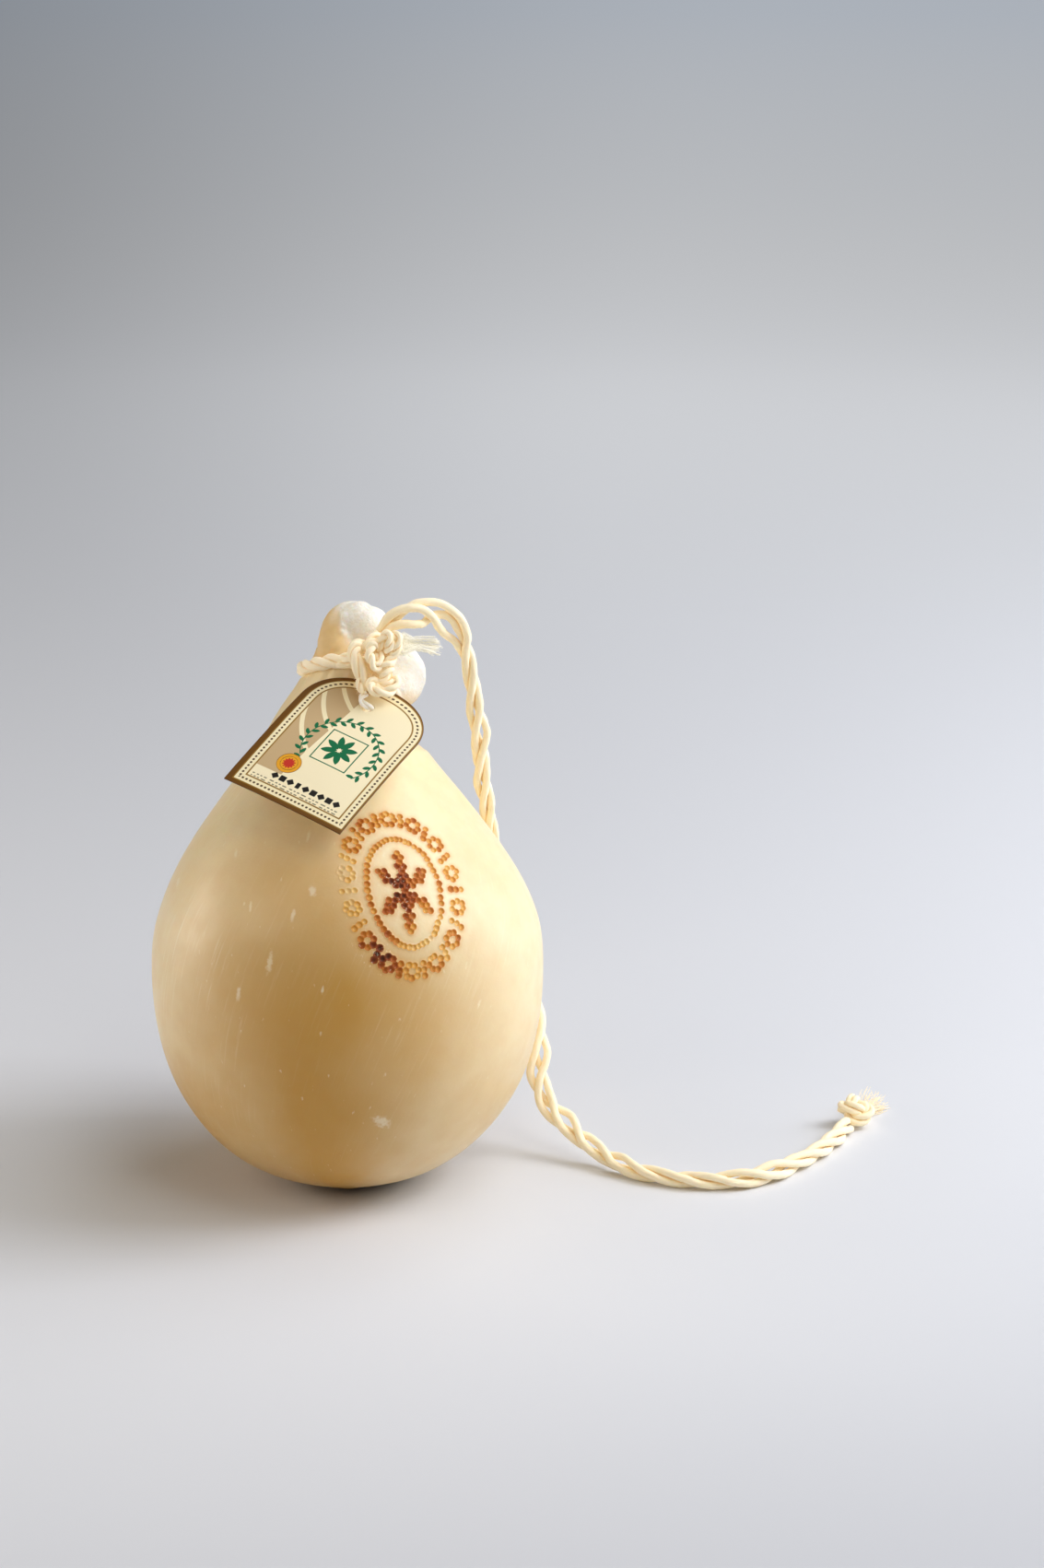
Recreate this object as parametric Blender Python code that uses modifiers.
"""Caciocavallo: a pear-shaped stretched-curd cheese, tied at the neck.

Units are metres and +Z is up. The origin is the middle of the small flat spot that the
cheese rests on, -Y is the front and +X is the side to which the free cord runs.

The cheese and all that is tied to it are laid out in the cheese's own frame, whose Z axis
runs from the foot to the neck. One empty leans that frame back, as a round-bottomed cheese
stands. Lengths below are written in millimetres and turned to metres by mm().
"""

import math

import bmesh
import bpy
from mathutils import Euler, Matrix, Vector


def mm(*values):
    """Millimetres to metres: one number, or a Vector from three."""
    metres = [value * 0.001 for value in values]
    return metres[0] if len(metres) == 1 else Vector(metres)


# Driving dimensions, in millimetres and degrees

LEAN = 16.0                # the whole cheese leans back
FOOT_CUT = 2.0             # depth of the flat spot under the leaning cheese
BELLY_RADIUS = 72.7
BELLY_HEIGHT = 83.0        # along the axis, from the lowest point
BELLY_POWER = 2.2          # 2 is an ellipse, a little more is fuller
# (height along the axis, radius) from the belly to above the tie
SHOULDER = [(98.0, 71.4), (113.0, 66.2), (129.0, 57.0), (146.0, 44.6), (162.0, 32.0),
            (177.0, 22.4), (182.0, 20.3), (188.0, 19.3), (196.0, 19.4)]
NECK_TOP = 201.0           # the dome that closes the neck inside the head
SIDE_SHIFT = -2.4          # the shoulders sit this far to the left of the belly
SHIFT_FROM, SHIFT_TO = 95.0, 160.0
NECK_TILT = 23.6           # the neck bends over to the right
BEND_FROM, BEND_TO = 162.0, 184.84

TIE_RING_RADIUS = 20.7     # to the middle of the cord, round the point where the bend ends
TIE_CORD_RADIUS = 2.6
TIE_PULL = 10.5            # the knot pulls the front of the tie up
TIE_PULL_SPREAD = 50.0
GAP = 0.3

# The head is a roll of curd that runs from the left front, round the back and down over the
# right side. In the head's frame, whose Z is the bent neck: (x, y, height, radius)
ROLL = [(-9.0, -12.0, 6.0, 6.0), (-12.5, -6.0, 14.0, 8.0), (-12.3, 0.0, 22.0, 9.2),
        (-8.0, 9.0, 22.0, 9.3), (0.0, 13.0, 19.5, 9.0), (9.0, 10.0, 16.0, 9.2),
        (13.4, 1.5, 12.6, 9.3), (13.4, -7.0, 7.8, 8.7), (6.5, -12.6, 5.5, 6.6)]
TIP_CENTRE = (-4.6, -5.0, 23.7)      # the end of the roll, tucked into its middle
TIP_RADII = (8.5, 9.2, 8.4)

# The knot: bights of the tie cord as (x, y, height) routes in the cheese's frame, each
# with a radius
KNOT_BIGHTS = [
    ([(0.0, -21.4, 194.6), (2.0, -26.0, 197.6), (4.4, -28.0, 199.4), (6.1, -28.6, 196.0),
      (6.6, -29.2, 192.0), (8.2, -28.6, 188.4)], 2.5),
    ([(7.4, -26.6, 190.6), (6.1, -28.6, 187.5), (6.5, -30.0, 185.0), (8.0, -29.9, 183.2)], 1.7),
    ([(11.4, -25.4, 201.0), (8.6, -29.2, 199.6), (8.6, -30.8, 195.7), (10.8, -31.2, 192.6)], 2.2),
    ([(10.8, -29.2, 192.2), (13.0, -30.8, 193.8), (12.7, -30.0, 196.9), (12.2, -27.0, 200.0)], 2.0),
    ([(13.6, -25.6, 199.6), (13.0, -29.0, 202.4), (15.5, -30.3, 203.3), (16.5, -30.4, 201.2),
      (15.4, -28.0, 197.6)], 1.9),
    ([(17.2, -27.0, 202.4), (19.3, -29.4, 202.6), (18.8, -29.8, 199.6), (17.8, -28.6, 195.8),
      (16.6, -27.0, 192.6)], 2.2),
    ([(10.4, -26.8, 188.2), (9.4, -30.0, 185.9), (11.8, -31.4, 183.9), (15.2, -31.4, 183.8),
      (18.2, -30.4, 185.1), (18.0, -27.4, 187.8)], 2.3),
]
KNOT_CORES = [((12.1, -25.2, 194.4), 4.6), ((15.4, -26.2, 199.2), 4.2),
              ((13.6, -27.2, 189.4), 3.9), ((6.0, -24.8, 194.6), 3.4)]

# The frayed short end of the tie cord, out of the knot to the right: (x, y, height, radius)
TAIL = [(17.6, -27.6, 200.4, 2.4), (21.4, -28.0, 200.6, 2.8), (24.4, -28.0, 200.6, 2.0),
        (29.4, -27.2, 200.9, 2.3), (36.6, -26.0, 200.2, 2.7)]

# The tag: its hole is its own origin, X across, Y up along the card, Z out of its face
TAG_WIDTH = 50.0
TAG_SIDE = 48.0            # straight side, from the lower edge to the arch
TAG_LENGTH = 66.5
TAG_HOLE_HEIGHT = 55.0     # above the lower edge
TAG_HOLE_RADIUS = 2.3
TAG_THICKNESS = 0.5
TAG_CURL = 2.5             # the lower end bends towards the cheese
TAG_CURL_FROM = 45.0
TAG_CROWN = 0.8            # and so do its sides
TAG_HOLE_AT = (8.84, -31.18, 177.51)
TAG_TURN = (41.4, 23.3, -22.8)

STRING_RADIUS = 0.75
# in the tag's own frame: down from the knot, in through the hole and up behind the card
STRING_ROUTE = [(-3.1, 2.2, 1.9), (-3.4, 1.3, 1.9), (-2.5, -0.2, 1.8), (-0.4, -1.1, 1.4),
                (0.8, -0.7, 0.2), (0.9, 0.6, -1.2), (0.5, 2.8, -2.4)]

# The free cord, in the part's own frame: out of the knot, over in an arch, down behind the
# right shoulder, close behind the belly and onto the floor
CORD_RADIUS = 3.75
CORD_REST = CORD_RADIUS + 0.15
CORD_ROUTE = [
    (12.4, 19.4, 203.3), (16.5, 18.1, 208.0), (20.5, 17.8, 210.6), (25.5, 18.3, 212.0),
    (30.3, 20.0, 211.7), (35.0, 22.0, 209.2), (39.2, 24.0, 204.7), (42.3, 26.0, 199.3),
    (44.6, 28.0, 192.5), (46.2, 29.6, 184.0), (47.6, 31.0, 172.0), (49.5, 33.0, 151.2),
    (51.0, 36.4, 136.5), (53.0, 43.0, 120.4), (54.9, 47.3, 111.0), (57.3, 50.6, 100.8),
    (60.5, 51.7, 89.3), (64.0, 49.7, 77.0), (67.2, 44.4, 65.0), (69.4, 36.6, 54.6),
    (70.7, 29.4, 44.4), (71.2, 25.0, 35.7), (71.3, 22.5, 29.0), (74.0, 19.5, 20.0),
    (79.7, 14.0, 13.8), (86.5, 7.5, 9.2), (93.7, 1.0, 6.0), (101.0, -6.0, 4.4),
    (109.0, -12.0, CORD_REST), (117.5, -16.5, CORD_REST), (126.0, -19.3, CORD_REST),
    (137.0, -20.8, CORD_REST), (148.0, -19.8, CORD_REST), (158.0, -14.6, CORD_REST),
    (167.3, -5.0, CORD_REST), (178.0, 8.5, CORD_REST), (186.3, 22.9, CORD_REST),
    (192.5, 38.0, CORD_REST),
]
CORD_POINTS = 80

# The knot that stops the free end, lying on the floor, and its frayed strands
END_KNOT_AT = (195.2, 44.8, 7.3)
END_KNOT_HEADING = 67.7    # degrees from +X to +Y
END_KNOT_RADII = (6.6, 6.2, 5.8)
END_TURN_RADIUS = 4.4
END_CORD_RADIUS = 3.0
# the loose ends: (forward, aside, up, radius) from the knot's middle
FRAY = [(3.0, 0.0, -2.6, 3.6), (9.0, 0.4, -3.5, 3.3), (15.0, 0.9, -4.2, 2.8),
        (23.0, 1.6, -4.5, 2.5)]


# Scene

def clear_scene():
    for old in list(bpy.data.objects):
        bpy.data.objects.remove(old, do_unlink=True)


def new_collection(name):
    collection = bpy.data.collections.new(name)
    bpy.context.scene.collection.children.link(collection)
    return collection


def principled(name, colour, roughness, metallic=0.0):
    material = bpy.data.materials.new(name)
    material.use_nodes = True
    shader = material.node_tree.nodes["Principled BSDF"]
    shader.inputs["Base Color"].default_value = (*colour, 1.0)
    shader.inputs["Roughness"].default_value = roughness
    shader.inputs["Metallic"].default_value = metallic
    return material


def put(obj, collection, parent=None, material=None, hidden=False):
    """Link an object to its one collection, under its parent, with its material."""
    for old in list(obj.users_collection):
        old.objects.unlink(obj)
    collection.objects.link(obj)
    obj.parent = parent
    if material:
        obj.data.materials.clear()
        obj.data.materials.append(material)
    if hidden:
        obj.hide_render = True
        obj.display_type = "WIRE"
    return obj


def rest_on_foot(leaning, foot_cut):
    """The empty's matrix: lean back, then stand the cut foot at the origin."""
    lean = Matrix.Rotation(-math.radians(LEAN), 4, "X")
    points = [lean @ Vector(point) for point in leaning]
    lowest = min(points, key=lambda point: point.z)
    return Matrix.Translation((0.0, -lowest.y, -lowest.z - foot_cut)) @ lean


# Curves and routes

def catmull_rom(points, steps):
    """A smooth curve through the points, with steps parts to each stretch."""
    padded = [2 * points[0] - points[1], *points, 2 * points[-1] - points[-2]]
    curve = []
    for a, b, c, d in zip(padded, padded[1:], padded[2:], padded[3:]):
        for step in range(steps):
            t = step / steps
            curve.append(0.5 * (2 * b + (c - a) * t + (2 * a - 5 * b + 4 * c - d) * t ** 2
                                + (3 * b - a - 3 * c + d) * t ** 3))
    return [*curve, points[-1].copy()]


def evenly_spaced(curve, count):
    """The same curve, with count points at equal distances along it."""
    along = [0.0]
    for before, after in zip(curve, curve[1:]):
        along.append(along[-1] + (after - before).length)
    spaced = []
    index = 0
    for step in range(count):
        want = along[-1] * step / (count - 1)
        while index < len(along) - 2 and along[index + 1] < want:
            index += 1
        part = (want - along[index]) / (along[index + 1] - along[index])
        spaced.append(curve[index].lerp(curve[index + 1], part))
    return spaced


def tube(name, points, radii, bevel_resolution, cyclic=False):
    """A round tube as a curve object on a POLY spline, with filled caps."""
    curve = bpy.data.curves.new(name, "CURVE")
    curve.dimensions = "3D"
    curve.bevel_depth = 1.0
    curve.bevel_resolution = bevel_resolution
    curve.use_fill_caps = True
    spline = curve.splines.new("POLY")
    spline.points.add(len(points) - 1)
    for spline_point, point, radius in zip(spline.points, points, radii):
        spline_point.co = (*point, 1.0)
        spline_point.radius = radius
    spline.use_cyclic_u = cyclic
    return bpy.data.objects.new(name, curve)


def as_mesh(curve_object):
    """The curve's evaluated mesh in its place, with its caps welded."""
    bpy.context.scene.collection.objects.link(curve_object)
    bpy.context.view_layer.update()
    evaluated = curve_object.evaluated_get(bpy.context.evaluated_depsgraph_get())
    mesh = bpy.data.meshes.new_from_object(evaluated)
    name = curve_object.name
    bpy.data.objects.remove(curve_object, do_unlink=True)
    mesh.name = name
    edit = bmesh.new()
    edit.from_mesh(mesh)
    bmesh.ops.remove_doubles(edit, verts=edit.verts, dist=mm(0.01))
    edit.to_mesh(mesh)
    edit.free()
    return bpy.data.objects.new(name, mesh)


def tapered_tube(name, rows, steps, bevel_resolution):
    """A tube mesh through rows of (x, y, z, radius) in millimetres."""
    points = catmull_rom([mm(*row[:3]) for row in rows], steps)
    radii = [radius.x for radius in catmull_rom([Vector((mm(row[3]), 0, 0)) for row in rows], steps)]
    return as_mesh(tube(name, points, radii, bevel_resolution))


def ball(name, centre, radii, segments, rings):
    """A sphere primitive stretched to three radii, in millimetres."""
    mesh = bpy.data.meshes.new(name)
    edit = bmesh.new()
    bmesh.ops.create_uvsphere(edit, u_segments=segments, v_segments=rings, radius=1.0)
    size = Matrix.Diagonal((*mm(*radii), 1.0))
    bmesh.ops.transform(edit, matrix=Matrix.Translation(mm(*centre)) @ size, verts=edit.verts)
    edit.to_mesh(mesh)
    edit.free()
    return bpy.data.objects.new(name, mesh)


def join_all(obj, pieces):
    """One Boolean union of the object with every piece of a collection."""
    union = obj.modifiers.new("Fuse", "BOOLEAN")
    union.operation = "UNION"
    union.operand_type = "COLLECTION"
    union.collection = pieces


def cut(obj, cutter, name):
    difference = obj.modifiers.new(name, "BOOLEAN")
    difference.operation = "DIFFERENCE"
    difference.object = cutter


def shade_smooth(obj, angle=50.0):
    obj.data.shade_smooth()
    if obj.type == "MESH":
        obj.data.set_sharp_from_angle(angle=math.radians(angle))


# The cheese

def pear_radius(height):
    """Radius at a height along the axis: a superellipse below, a smooth shoulder above."""
    if height <= BELLY_HEIGHT:
        part = ((BELLY_HEIGHT - height) / BELLY_HEIGHT) ** BELLY_POWER
        return BELLY_RADIUS * (1.0 - part) ** (1.0 / BELLY_POWER)
    rows = [(BELLY_HEIGHT, BELLY_RADIUS), *SHOULDER]
    index = max(i for i in range(len(rows) - 1) if rows[i][0] <= height)
    (x0, y0), (x1, y1) = rows[index], rows[index + 1]
    before = rows[index - 1] if index else (2 * x0 - x1, y1)
    after = rows[index + 2] if index + 2 < len(rows) else (2 * x1 - x0, 2 * y1 - y0)
    slope_0 = (y1 - before[1]) / (x1 - before[0])
    slope_1 = (after[1] - y0) / (after[0] - x0)
    span = x1 - x0
    t = (height - x0) / span
    return ((2 * t ** 3 - 3 * t ** 2 + 1) * y0 + (t ** 3 - 2 * t ** 2 + t) * span * slope_0
            + (3 * t ** 2 - 2 * t ** 3) * y1 + (t ** 3 - t ** 2) * span * slope_1)


def pear_profile(lower_rows=14, shoulder_rows=18, dome_rows=4):
    """The outer side from the top of the neck down to the foot, as (radius, height)."""
    last_height, last_radius = SHOULDER[-1]
    profile = []
    for row in range(dome_rows):
        angle = 0.5 * math.pi * row / dome_rows
        profile.append((last_radius * math.sin(angle),
                        last_height + (NECK_TOP - last_height) * math.cos(angle)))
    for row in range(shoulder_rows):
        height = last_height + (BELLY_HEIGHT - last_height) * row / shoulder_rows
        profile.append((pear_radius(height), height))
    for row in range(lower_rows + 1):
        height = BELLY_HEIGHT * (1.0 - math.sin(0.5 * math.pi * row / lower_rows))
        profile.append((pear_radius(height), height))
    profile[-1] = (0.0, 0.0)
    return profile


def bend(point):
    """Shift the shoulders aside and bend the neck over: a point of the straight pear, moved."""
    height = point.z / 0.001
    part = min(max((height - SHIFT_FROM) / (SHIFT_TO - SHIFT_FROM), 0.0), 1.0)
    shift = SIDE_SHIFT * part * part * (3.0 - 2.0 * part)
    tilt = math.radians(NECK_TILT) * min(max((height - BEND_FROM) / (BEND_TO - BEND_FROM), 0.0), 1.0)
    bend_radius = (BEND_TO - BEND_FROM) / math.radians(NECK_TILT)
    beyond = max(height - BEND_TO, 0.0)
    centre_x = shift + bend_radius * (1.0 - math.cos(tilt)) + beyond * math.sin(tilt)
    centre_z = min(height, BEND_FROM) + bend_radius * math.sin(tilt) + beyond * math.cos(tilt)
    across = mm(math.cos(tilt), 0.0, -math.sin(tilt)) * (point.x / 0.001)
    return mm(centre_x, 0.0, centre_z) + across + Vector((0.0, point.y, 0.0))


def turned_pear(segments=48):
    """The straight pear, turned from its profile with a Screw and read as a mesh."""
    mesh = bpy.data.meshes.new("pear_profile")
    edit = bmesh.new()
    points = [edit.verts.new(mm(radius, 0.0, height)) for radius, height in pear_profile()]
    for before, after in zip(points, points[1:]):
        edit.edges.new((before, after))
    edit.to_mesh(mesh)
    edit.free()
    profile = bpy.data.objects.new("pear_profile", mesh)
    screw = profile.modifiers.new("Turn", "SCREW")
    screw.steps = screw.render_steps = segments
    screw.use_merge_vertices = True
    screw.merge_threshold = 0.00005
    screw.use_normal_calculate = False
    return as_mesh(profile)


def head_frame():
    """The middle of the tie's ring, with Z along the bent neck."""
    middle = bend(mm(0.0, 0.0, BEND_TO))
    return Matrix.Translation(middle) @ Matrix.Rotation(math.radians(NECK_TILT), 4, "Y")


def tie_ring(points=64):
    """The tie's closed route: a ring round the neck, pulled up at the front by the knot."""
    ring = []
    for step in range(points):
        angle = 360.0 * step / points
        pull = TIE_PULL * math.exp(-((angle - 270.0) / TIE_PULL_SPREAD) ** 2)
        turn = math.radians(angle)
        ring.append(head_frame() @ mm(TIE_RING_RADIUS * math.cos(turn),
                                      TIE_RING_RADIUS * math.sin(turn), pull))
    return ring


def ring_tube(name, radius, bevel_resolution):
    ring = tie_ring()
    return as_mesh(tube(name, ring, [mm(radius)] * len(ring), bevel_resolution, cyclic=True))


def make_cheese(parts, cutters, stand, material):
    cheese = turned_pear()
    cheese.name = "cheese"
    for vertex in cheese.data.vertices:
        vertex.co = bend(vertex.co)
    put(cheese, parts, stand, material)
    stand.matrix_world = rest_on_foot([vertex.co for vertex in cheese.data.vertices], mm(FOOT_CUT))

    head = new_collection("head_pieces")
    for piece in (tapered_tube("roll", ROLL, 3, 5), ball("tip", TIP_CENTRE, TIP_RADII, 18, 11)):
        put(piece, head, stand, material, hidden=True)
        piece.matrix_local = head_frame()
    join_all(cheese, head)

    cut(cheese, put(ring_tube("tie_groove", TIE_CORD_RADIUS + GAP, 3), cutters, stand, hidden=True),
        "Groove for the tie")
    bpy.ops.mesh.primitive_cube_add(size=mm(2 * BELLY_RADIUS), location=(0.0, 0.0, -mm(BELLY_RADIUS)))
    foot = put(bpy.context.object, cutters, hidden=True)
    foot.name = "foot_plane"
    cut(cheese, foot, "Flat foot")
    shade_smooth(cheese)


# The tie, with its knot and its frayed end

def make_tie(parts, stand, material):
    tie = put(ring_tube("neck_tie", TIE_CORD_RADIUS, 2), parts, stand, material)
    knot = new_collection("knot_pieces")
    for number, (route, radius) in enumerate(KNOT_BIGHTS, start=1):
        rows = [(*point, radius) for point in route]
        put(tapered_tube(f"bight_{number}", rows, 3, 2), knot, stand, material, hidden=True)
    for number, (centre, radius) in enumerate(KNOT_CORES, start=1):
        put(ball(f"core_{number}", centre, (radius,) * 3, 12, 8), knot, stand, material, hidden=True)
    put(tapered_tube("tail", TAIL, 3, 3), knot, stand, material, hidden=True)
    join_all(tie, knot)
    shade_smooth(tie)


# The tag and its string

def tag_outline(corner_rows=10):
    """Half-round-shouldered arch on a square foot, counter-clockwise, hole at the origin."""
    half = 0.5 * TAG_WIDTH
    arch = TAG_LENGTH - TAG_SIDE
    foot = -TAG_HOLE_HEIGHT
    side_top = TAG_SIDE - TAG_HOLE_HEIGHT
    outline = [(-half, foot), (half, foot)]
    for row in range(2 * corner_rows + 1):
        angle = math.pi * row / (2 * corner_rows)
        # a superellipse of power 2.35 has rounder shoulders than an ellipse
        power = 2.0 / 2.35
        x = half * math.copysign(abs(math.cos(angle)) ** power, math.cos(angle))
        outline.append((x, side_top + arch * math.sin(angle) ** power))
    return outline


def curl(point):
    """The card's set: its foot and its sides bend back a little."""
    low = min(max((TAG_CURL_FROM - TAG_HOLE_HEIGHT - point.y / 0.001) / TAG_CURL_FROM, 0.0), 1.0)
    side = point.x / 0.001 / (0.5 * TAG_WIDTH)
    return point - mm(0.0, 0.0, TAG_CURL * low * low + TAG_CROWN * side * side)


def tag_matrix():
    turn = Euler([math.radians(angle) for angle in TAG_TURN])
    return Matrix.Translation(mm(*TAG_HOLE_AT)) @ turn.to_matrix().to_4x4()


def make_tag(parts, stand, material, rows=10):
    """A flat outline with a hole, filled, cut into rows so that it can bend, and thickened."""
    curve = bpy.data.curves.new("tag", "CURVE")
    curve.dimensions = "2D"
    curve.fill_mode = "BOTH"
    hole = [(TAG_HOLE_RADIUS * math.cos(math.tau * step / 20),
             TAG_HOLE_RADIUS * math.sin(math.tau * step / 20)) for step in range(20)]
    for loop in (tag_outline(), hole):
        spline = curve.splines.new("POLY")
        spline.points.add(len(loop) - 1)
        for spline_point, (x, y) in zip(spline.points, loop):
            spline_point.co = (*mm(x, y, 0.0), 1.0)
        spline.use_cyclic_u = True
    tag = as_mesh(bpy.data.objects.new("tag", curve))
    edit = bmesh.new()
    edit.from_mesh(tag.data)
    for row in range(1, rows):
        everything = [*edit.verts, *edit.edges, *edit.faces]
        height = mm(-TAG_HOLE_HEIGHT + TAG_LENGTH * row / rows)
        bmesh.ops.bisect_plane(edit, geom=everything, plane_co=(0, height, 0), plane_no=(0, 1, 0))
        everything = [*edit.verts, *edit.edges, *edit.faces]
        across = mm(TAG_WIDTH * (row / rows - 0.5))
        bmesh.ops.bisect_plane(edit, geom=everything, plane_co=(across, 0, 0), plane_no=(1, 0, 0))
    bmesh.ops.recalc_face_normals(edit, faces=edit.faces)
    if sum(face.normal.z for face in edit.faces) < 0.0:
        bmesh.ops.reverse_faces(edit, faces=edit.faces)
    for vertex in edit.verts:
        vertex.co = curl(vertex.co)
    edit.to_mesh(tag.data)
    edit.free()
    wall = tag.modifiers.new("Card", "SOLIDIFY")
    wall.thickness = mm(TAG_THICKNESS)
    wall.offset = 0.0
    put(tag, parts, stand, material)
    tag.matrix_local = tag_matrix()


def make_string(parts, stand, material):
    points = catmull_rom([mm(*point) for point in STRING_ROUTE], 4)
    string = tube("tag_string", points, [mm(STRING_RADIUS)] * len(points), 2)
    put(string, parts, stand, material)
    string.matrix_local = tag_matrix()


# The free cord

def make_cord(parts, material):
    route = evenly_spaced(catmull_rom([mm(*point) for point in CORD_ROUTE], 12), CORD_POINTS)
    put(tube("cord", route, [mm(CORD_RADIUS)] * len(route), 3), parts, material=material)


def make_cord_end(parts, material):
    """An overhand knot as two turns round a core, with a spread tuft of loose ends."""
    heading = Matrix.Rotation(math.radians(END_KNOT_HEADING), 4, "Z")
    place = Matrix.Translation(mm(*END_KNOT_AT)) @ heading
    knot = put(ball("cord_end", (0.0, 0.0, 0.0), END_KNOT_RADII, 16, 10), parts, material=material)
    knot.matrix_world = place
    turns = new_collection("end_knot_pieces")
    for number, tilt in enumerate((62.0, -58.0), start=1):
        bpy.ops.mesh.primitive_torus_add(major_radius=mm(END_TURN_RADIUS), major_segments=24,
                                         minor_radius=mm(END_CORD_RADIUS), minor_segments=10)
        turn = put(bpy.context.object, turns, hidden=True)
        turn.name = f"turn_{number}"
        turn.matrix_world = place @ Matrix.Rotation(math.radians(tilt), 4, "Y")
    tuft = put(tapered_tube("fray", FRAY, 4, 3), turns, hidden=True)
    tuft.matrix_world = place
    join_all(knot, turns)
    shade_smooth(knot)


def build():
    clear_scene()
    parts = new_collection("caciocavallo")
    cutters = new_collection("cutters")
    rind = principled("waxed_rind", (0.80, 0.62, 0.33), 0.35)
    cotton = principled("cotton_cord", (0.86, 0.76, 0.56), 0.85)
    string = principled("white_string", (0.90, 0.88, 0.84), 0.8)
    card = principled("printed_card", (0.82, 0.72, 0.48), 0.45)

    stand = bpy.data.objects.new("stand", None)
    parts.objects.link(stand)
    make_cheese(parts, cutters, stand, rind)
    make_tie(parts, stand, cotton)
    make_tag(parts, stand, card)
    make_string(parts, stand, string)
    make_cord(parts, cotton)
    make_cord_end(parts, cotton)
    bpy.context.view_layer.update()


build()
